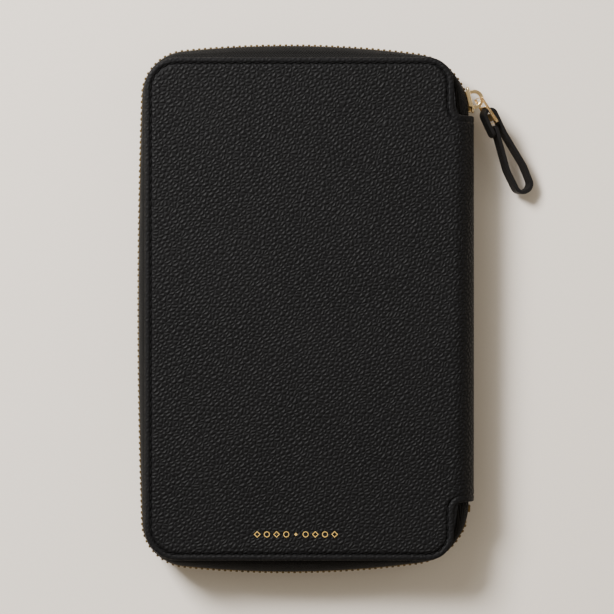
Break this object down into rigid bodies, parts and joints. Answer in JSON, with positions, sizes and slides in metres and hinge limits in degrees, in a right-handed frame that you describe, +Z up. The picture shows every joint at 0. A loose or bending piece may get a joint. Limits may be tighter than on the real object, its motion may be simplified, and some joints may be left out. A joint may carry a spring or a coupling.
{
  "type": "travel document organizer",
  "caption": "Closed zip-around travel wallet in black pebbled leather with a rounded spine, gold metal zip and looped strap pull; opens flat to pockets and card slots.",
  "frame": {"origin": "middle of the closed case's width and length, on the flat outside of the back cover that it lies on", "axes": "+Z up through the case's thickness, +Y along the spine, +X from the free edge to the spine"},
  "size_m": [0.1723, 0.2288, 0.026],
  "materials": {
    "shell_leather": "pebbled, satin",
    "padding": "foam",
    "grey_board": "raw board",
    "lining_fabric": "fine weave",
    "zip_tape": "herringbone weave",
    "zip_metal": "polished pale gold",
    "slider_metal": "polished pale gold",
    "strap_leather": "smooth with painted edges",
    "pocket_leather": "fine grain",
    "pen_elastic": "ribbed elastic",
    "coil_tape": "woven tape",
    "coil_nylon": "nylon coil",
    "small_stops": "polished pale gold"
  },
  "bodies": {
    "back_cover": {"back_cover_leather": "shell_leather", "back_cover_foam": "padding", "back_cover_board": "grey_board", "back_cover_lining": "lining_fabric", "back_zip_tape": "zip_tape", "back_zip_teeth": "zip_metal", "back_top_stop": "zip_metal", "zip_bottom_stop": "zip_metal", "boarding_pass_pocket": "pocket_leather", "zip_pocket_panel": "pocket_leather", "zip_pocket_header": "pocket_leather", "zip_pocket_tapes": "coil_tape", "zip_pocket_coils": "coil_nylon", "zip_pocket_stops": "small_stops", "pen_loop": "pen_elastic"},
    "spine": {"spine_leather": "shell_leather", "spine_board": "grey_board", "spine_lining": "lining_fabric", "zip_tails": "zip_tape"},
    "front_cover": {"front_cover_leather": "shell_leather", "front_cover_foam": "padding", "front_cover_board": "grey_board", "front_cover_lining": "lining_fabric", "front_zip_tape": "zip_tape", "front_zip_tape_top_corner": "zip_tape", "front_zip_tape_bottom_corner": "zip_tape", "front_zip_teeth": "zip_metal", "front_top_stop": "zip_metal", "ticket_pocket": "pocket_leather", "passport_pocket": "pocket_leather", "card_slot_1": "pocket_leather", "card_slot_2": "pocket_leather", "card_slot_3": "pocket_leather", "card_slot_4": "pocket_leather"},
    "zip_slider": {"slider_body": "slider_metal", "slider_bail": "slider_metal"},
    "zip_puller": {"puller_tab": "slider_metal"},
    "pull_strap": {"pull_strap": "strap_leather"},
    "pocket_slider": {"pocket_slider": "slider_metal"},
    "pocket_puller": {"pocket_puller": "slider_metal"}
  },
  "joints": [
    {"name": "spine_fold", "type": "hinge", "parent": "back_cover", "child": "spine", "pos_m": [0.07088, 0, 0.00197], "axis": [0, 1, 0], "range_deg": [0, 90]},
    {"name": "cover_open", "type": "hinge", "parent": "spine", "child": "front_cover", "pos_m": [0.07088, 0, 0.02403], "axis": [0, 1, 0], "range_deg": [0, 90], "deforming": ["front_zip_teeth", "front_zip_tape_top_corner", "front_zip_tape_bottom_corner"]},
    {"name": "slider_travel", "type": "hinge", "parent": "back_cover", "child": "zip_slider", "pos_m": [0.04467, 0.0842, 0.013], "axis": [0, 0, 1], "range_deg": [0, 60], "deforming": ["back_zip_teeth"]},
    {"name": "puller_swing", "type": "hinge", "parent": "zip_slider", "child": "zip_puller", "pos_m": [0.0731, 0.09079, 0.013], "axis": [0, 0, 1], "range_deg": [-8, 90]},
    {"name": "strap_swing", "type": "hinge", "parent": "zip_puller", "child": "pull_strap", "pos_m": [0.0814, 0.0812, 0.01102], "axis": [0, 0, 1], "range_deg": [-15, 20]},
    {"name": "pocket_zip_travel", "type": "slide", "parent": "back_cover", "child": "pocket_slider", "axis": [-1, 0, 0], "range_m": [0, 0.068], "deforming": ["zip_pocket_coils"]},
    {"name": "pocket_puller_lift", "type": "hinge", "parent": "pocket_slider", "child": "pocket_puller", "pos_m": [0.0225, 0.02, 0.00922], "axis": [0, -1, 0], "range_deg": [0, 170]}
  ],
  "couplings": [
    {"joint": "spine_fold", "follows": "cover_open", "ratio": 1},
    {"joint": "slider_travel", "follows": "cover_open", "ratio": 0.66667}
  ]
}
